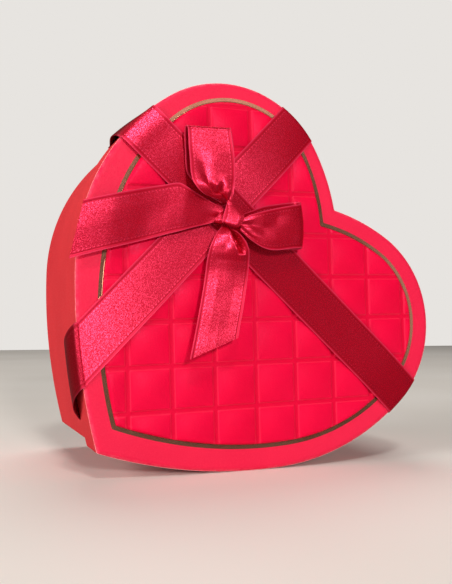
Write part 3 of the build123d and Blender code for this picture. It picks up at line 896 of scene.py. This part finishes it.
loop_upper = strip("bow_upper_loop", "bow_loop_upper", [bend([
    (222, 203, -5.5, 231, 203, -5.5),
    (204, 192, -5.0, 234, 190, -5.0),
    (190, 177, -4.8, 235, 174, -4.8),
    (186, 168, -4.8, 234.5, 160, -4.8),
    (185, 150, -5.4, 233.5, 146, -5.4),
    (184.3, 136, -6.6, 232, 135, -6.6),
    (184.6, 129, -7.9, 231.2, 130.8, -7.5),
    (185.8, 125.4, -9.0, 230.8, 128.2, -8.4),
    (187.3, 126.4, -10.3, 230.8, 129.2, -9.5),
    (188, 130, -10.35, 231, 132.5, -9.55),
    (188.8, 145, -10.7, 233, 146, -9.85),
    (190, 160, -11.4, 234.5, 160, -10.6),
    (191.2, 174, -12.3, 234.8, 175, -11.7),
    (195, 184, -12.85, 233.6, 186, -12.5),
    (204, 193.5, -12.3, 231, 194, -12.3),
    (219, 199, -9.4, 228.8, 200, -11.0),
], (
    (0, ((0, 0), (0.25, 0.8), (0.5, -0.8), (0.75, 0.8), (1, 0))),
    (2.5, FLAT),
    (9, FLAT),
    (10, ((0, 0), (0.5, 0.2), (1, 0))),
    (10.5, ((0, 0.05), (0.1, 0.05), (0.22, -0.12), (0.34, 0.05), (0.5, 0.2), (1, 0))),
    (11, ((0, 0.1), (0.08, 0.15), (0.28, -0.4), (0.38, -0.25), (0.5, 0.1), (0.65, 0.2), (0.85, 0.2), (1, 0))),
    (12, ((0, 0.1), (0.1, 0.25), (0.2, 0.35), (0.34, -0.9), (0.42, -0.55), (0.52, 0.1), (0.64, 0.3), (0.8, 0.25), (1, 0))),
    (12.6, ((0, 0), (0.12, 0.3), (0.26, 0.5), (0.38, -1.2), (0.43, -0.7), (0.52, 0.1), (0.6, 0.2), (0.7, 0.0), (0.84, 0.3),
            (1, 0.1))),
    (13, ((0, 0), (0.15, 0.4), (0.31, 0.8), (0.4, -1.6), (0.46, -0.7), (0.54, 0.3), (0.6, 0.2), (0.65, -0.5), (0.7, -1.1),
          (0.77, 0.1), (0.88, 0.6), (1, 0.1))),
    (13.6, ((0, 0), (0.18, 0.5), (0.33, 0.6), (0.42, -2.0), (0.5, -1.0), (0.57, -0.6), (0.64, -2.4), (0.69, -3.2),
            (0.76, 0.0), (0.87, 1.2), (1, 0.3))),
    (14, ((0, 0), (0.2, 0.3), (0.35, -1.4), (0.5, -2.2), (0.62, -3.2), (0.72, -0.8), (0.86, 1.2), (1, 0.4))),
    (15, ((0, 0), (0.3, -1.0), (0.6, -1.4), (0.85, 0.8), (1, 0.3))),
), 150, 61)])

loop_right = strip("bow_right_loop", "bow_loop_right", [bend([
    (244, 214, -5.5, 242, 230, -5.5),
    (253, 210.5, -5.0, 252, 240, -5.0),
    (264, 206.4, -4.8, 262, 246.5, -4.8),
    (280, 203.8, -4.8, 278, 249.5, -4.8),
    (293, 202.4, -5.2, 293, 250, -5.2),
    (299, 202, -6.4, 300, 249.5, -6.4),
    (300.6, 202.6, -8.0, 302.0, 247.8, -8.0),
    (299.6, 204.2, -9.6, 300.6, 248, -9.6),
    (290, 205.8, -10.6, 291, 248.6, -10.6),
    (276, 208.4, -10.6, 276, 250.2, -10.8),
    (263, 211.4, -10.6, 264, 248, -10.6),
    (252, 214.6, -10.2, 251, 240, -10.2),
    (243, 218.5, -9.4, 240, 230, -9.4),
], (
    (0, ((0, 0), (0.25, 0.8), (0.5, -0.8), (0.75, 0.8), (1, 0))),
    (2, FLAT),
    (5, FLAT),
    (6, ((0, 0), (0.4, 1.0), (0.75, 0.9), (1, 0))),
    (7, ((0, 0), (0.15, 0.6), (0.45, 1.2), (0.8, 0.8), (1, 0))),
    (8, ((0, 0), (0.12, 0.5), (0.4, 0.9), (0.6, 0.6), (0.85, 0.4), (1, 0))),
    (9, ((0, 0), (0.1, 0.1), (0.22, -0.3), (0.36, -0.1), (0.6, 0.5), (0.75, 0.6), (1, 0))),
    (10, ((0, 0), (0.12, 0.5), (0.28, 0.6), (0.45, -0.5), (0.62, -0.2), (0.8, 0.3), (1, 0))),
    (11, ((0, 0), (0.2, 0.5), (0.4, -0.9), (0.58, 0.1), (0.74, -0.7), (0.88, 0.2), (1, 0))),
    (12, ((0, 0), (0.25, 0.4), (0.5, -1.0), (0.75, 0.3), (1, 0))),
), 140, 61)])

tail_left = strip("bow_left_tail", "bow_tail_left", [bend([
    (226, 210, -6.6, 217, 221.5, -6.4),
    (212, 202.5, -6.1, 205, 224.5, -5.9),
    (196, 192.5, -6.0, 191, 227.8, -5.8),
    (188, 187.2, -5.95, 182, 230.4, -5.75),
    (179.5, 182.8, -5.65, 172, 232.8, -5.45),
    (165, 184.6, -5.2, 157, 236.7, -5.0),
    (150, 186.8, -4.95, 142, 240.6, -4.75),
    (132, 189.9, -5.1, 123, 245.0, -4.9),
    (118, 192.4, -5.15, 108, 248.6, -4.95),
    (107, 194.5, -5.0, 96, 251.5, -4.8),
    (95, 196.8, -4.8, 83, 254.8, -4.6),
    (83.5, 199.6, -4.6, 69, 258.3, -4.35),
], (
    (0, ((0, 0), (0.3, 0.5), (0.6, -0.5), (1, 0))),
    (1.5, ((0, 0), (0.2, -0.2), (0.5, 0.1), (0.8, 0.1), (1, 0))),
    (3, ((0, 0), (0.4, 0.15), (0.7, 0.15), (1, 0))),
    (4.5, ((0, 0), (0.3, 0.1), (0.6, 0.2), (0.8, 0.2), (1, 0))),
    (6, ((0, 0), (0.3, 0.3), (0.6, 0.1), (1, 0))),
    (11, ((0, 0), (0.5, 0.3), (1, 0))),
), 140, 51)])

tail_lower = strip("bow_lower_tail", "bow_tail_lower", [bend([
    (222.5, 225.5, -7.5, 232, 229, -7.9),
    (216, 234, -8.1, 241, 237, -8.6),
    (210.5, 246, -8.75, 247.6, 249, -9.2),
    (207.2, 259, -8.65, 249, 261, -9.0),
    (205.6, 271, -8.5, 248, 273, -8.6),
    (203.2, 288, -8.9, 246.2, 288, -8.85),
    (199.2, 311, -9.85, 243, 310, -9.75),
    (195, 334, -11.0, 240.2, 325, -10.5),
    (190, 359.5, -12.8, 238, 338, -11.5),
], (
    (0, ((0, 0), (0.5, 0.3), (1, 0))),
    (0.5, ((0, 0), (0.4, 0.5), (0.62, 0.8), (0.74, -2.4), (0.84, -2.2), (0.94, 1.2), (1, 1.6))),
    (1.0, ((0, 0), (0.3, 0.5), (0.56, 0.8), (0.66, 0.6), (0.75, -4.4), (0.85, -4.4), (0.93, 1.2), (1, 2.0))),
    (1.6, ((0, 0), (0.3, 0.3), (0.5, 0.2), (0.62, 1.3), (0.68, 0.9), (0.75, -4.2), (0.85, -4.0), (0.92, 1.4), (1, 2.2))),
    (2.1, ((0, 0), (0.4, 0), (0.62, 0.9), (0.7, 1.3), (0.77, -2.2), (0.84, -2.0), (0.91, 1.6), (1, 1.6))),
    (2.5, ((0, 0), (0.4, 0), (0.66, 0.7), (0.8, 1.2), (0.92, 1.2), (1, 0.4))),
    (3.0, ((0, 0), (0.4, -0.2), (0.75, 0.2), (0.9, 0.3), (1, 0))),
    (5, ((0, 0), (0.3, 0.4), (0.7, -0.2), (1, 0))),
    (8, ((0, 0), (0.5, 0.3), (1, 0))),
), 170, 81)])

knot = strip("bow_knot_wrap", "bow_knot", [bend([
    (227.5, 203.5, -8.0, 231.5, 204.5, -8.0),
    (228.2, 199.8, -11.1, 230.9, 200.6, -11.1),
    (226.6, 205, -11.7, 235.5, 206.5, -11.4),
    (225, 210, -12.05, 242.5, 212.4, -11.75),
    (223.4, 215.5, -12.4, 244.4, 216.4, -12.05),
    (222.4, 219.6, -12.65, 243.0, 221.8, -12.35),
    (222.4, 222.0, -12.6, 238.8, 227.2, -12.45),
    (223.2, 222.4, -11.4, 238.2, 227.2, -11.0),
    (226, 221.6, -7.6, 236.5, 225, -7.6),
], (
    (0, FLAT),
    (2, ((0, -0.1), (0.3, 0.3), (0.7, 0.3), (1, -0.2))),
    (3, ((0, -0.1), (0.25, 0.3), (0.75, 0.35), (1, -0.3))),
    (4, ((0, -0.1), (0.25, 0.3), (0.8, 0.4), (1, -0.4))),
    (5, ((0, -0.1), (0.25, 0.3), (0.8, 0.4), (1, -0.4))),
    (6, ((0, -0.1), (0.3, 0.2), (0.8, 0.3), (1, -0.3))),
    (8, FLAT),
), 80, 31), bend([
    (225, 209.5, -9.2, 226, 214, -9.6),
    (220, 212.8, -10.2, 225, 217, -10.8),
    (216.4, 217.4, -10.6, 224, 220.5, -11.4),
    (213.8, 221.0, -10.2, 222, 223.0, -11.0),
    (215.6, 222.6, -8.2, 221, 223.6, -8.4),
], ((0, FLAT), (2, ((0, 0), (0.5, 0.5), (1, 0))), (4, FLAT)), 30, 21)],
    width=11.0)

# ------------------------------------------------------------------------------------------------
# Floor, light
# ------------------------------------------------------------------------------------------------


def floor_paint():
    m = Net("floor_paint")
    p = m.here()
    colour = m.mix(m.ramp(m.noise(p, 3.0, 2.0), 0.3, 0.7), rgb(226, 219, 209), rgb(232, 226, 217))
    return m.set(colour=colour, rough=0.6)


FLOOR = bpy.data.meshes.new("floor")
FLOOR.from_pydata([(-2.1, -2.1, 0), (2.1, -2.1, 0), (2.1, 2.1, 0), (-2.1, 2.1, 0)], [], [(0, 1, 2, 3)])
FLOOR.materials.append(floor_paint())
floor = bpy.data.objects.new("floor", FLOOR)
bpy.context.scene.collection.objects.link(floor)
floor.visible_glossy = False     # not mirrored in the foil and the satin

sky = bpy.data.worlds.new("studio")
sky.use_nodes = True
tree = sky.node_tree
soft = tree.nodes["Background"]
soft.inputs["Color"].default_value = (1.0, 0.97, 0.94, 1.0)
soft.inputs["Strength"].default_value = 0.08
pale = tree.nodes.new("ShaderNodeBackground")
pale.inputs["Color"].default_value = (0.80, 0.775, 0.745, 1.0)
pale.inputs["Strength"].default_value = 1.0
seen = tree.nodes.new("ShaderNodeLightPath")
both = tree.nodes.new("ShaderNodeMixShader")
tree.links.new(seen.outputs["Is Camera Ray"], both.inputs[0])
tree.links.new(soft.outputs[0], both.inputs[1])
tree.links.new(pale.outputs[0], both.inputs[2])
tree.links.new(both.outputs[0], tree.nodes["World Output"].inputs["Surface"])
bpy.context.scene.world = sky


def softbox(name, place, target, size, watts, colour=(1.0, 0.985, 0.98), low=None):
    data = bpy.data.lights.new(name, "AREA")
    data.shape = "RECTANGLE" if low else "DISK"
    data.size = size
    if low:
        data.size_y = low
    data.energy = watts
    data.color = colour
    obj = bpy.data.objects.new(name, data)
    bpy.context.scene.collection.objects.link(obj)
    obj.location = place
    obj.visible_camera = False
    obj.rotation_mode = "QUATERNION"
    obj.rotation_quaternion = (Vector(target) - Vector(place)).to_track_quat("-Z", "Y")


softbox("key", (-0.14, -2.62, 0.85), (0, 0, 0.1), 0.34, 38.5)
softbox("high", (-0.3, -1.6, 2.3), (0, 0, 0.1), 0.4, 18.0)
softbox("left", (-2.4, -0.6, 0.9), (0, 0, 0.1), 1.6, 52.0)
softbox("top", (0.4, 1.2, 2.8), (0, 0.1, 0.0), 1.8, 32.0)
softbox("card", (1.05, -2.36, 0.97), (0, 0, 0.18), 1.1, 1.1, low=0.22)
softbox("side_card", (0.86, -1.1, 0.16), (0.08, -0.05, 0.12), 0.22, 0.13, low=0.3)

bpy.context.scene.view_settings.view_transform = "Standard"
